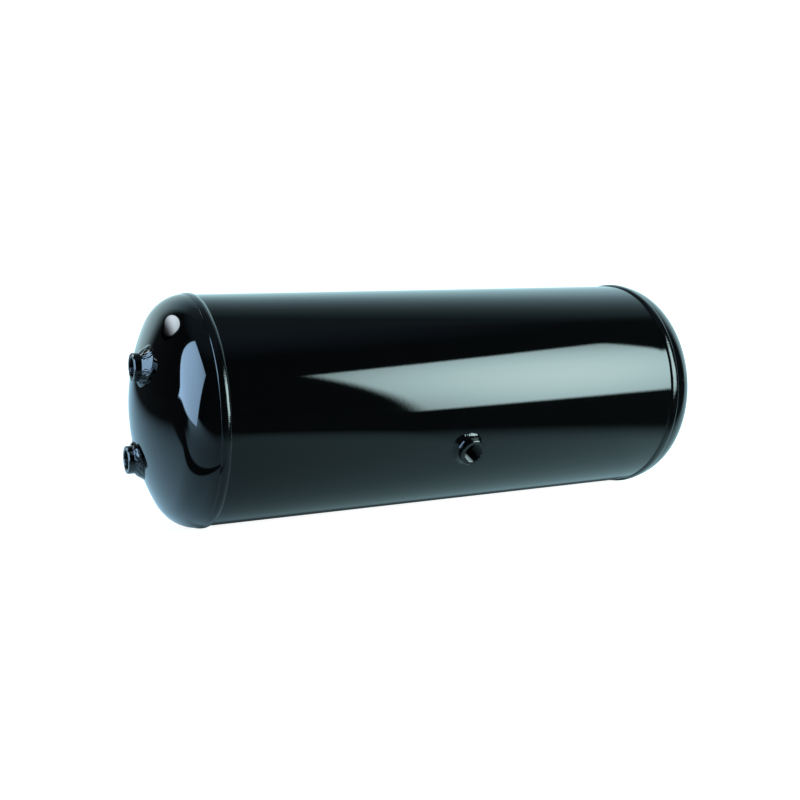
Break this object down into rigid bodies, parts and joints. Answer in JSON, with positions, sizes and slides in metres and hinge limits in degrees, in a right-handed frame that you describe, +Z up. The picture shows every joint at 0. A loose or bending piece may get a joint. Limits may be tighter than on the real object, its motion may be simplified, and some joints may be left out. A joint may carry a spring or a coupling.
{
  "type": "horizontal compressed-air tank",
  "caption": "Horizontal cylindrical steel air tank with dished heads butt-welded to the shell and screwed ports welded into the heads and the side.",
  "frame": {"origin": "on the floor below the middle of the tank, which rests on the crests of its two rim welds", "axes": "+X along the tank, +Z up, -Y the side that the shell port looks to"},
  "size_m": [0.6804, 0.2548, 0.25],
  "materials": {
    "shell_enamel": "glossy black enamel over rolled steel plate",
    "head_enamel": "glossy black enamel over pressed steel",
    "weld_enamel": "glossy black enamel over weld metal",
    "port_enamel": "glossy black enamel over turned steel"
  },
  "bodies": {
    "root": {"shell": "shell_enamel", "shell_seam_weld": "weld_enamel", "shell_port": "port_enamel", "shell_port_weld": "weld_enamel", "left_head": "head_enamel", "left_rim_weld": "weld_enamel", "left_upper_port": "port_enamel", "left_upper_port_weld": "weld_enamel", "left_lower_port": "port_enamel", "left_lower_port_weld": "weld_enamel", "right_head": "head_enamel", "right_rim_weld": "weld_enamel", "right_upper_port": "port_enamel", "right_upper_port_weld": "weld_enamel", "right_lower_port": "port_enamel", "right_lower_port_weld": "weld_enamel"}
  },
  "joints": []
}
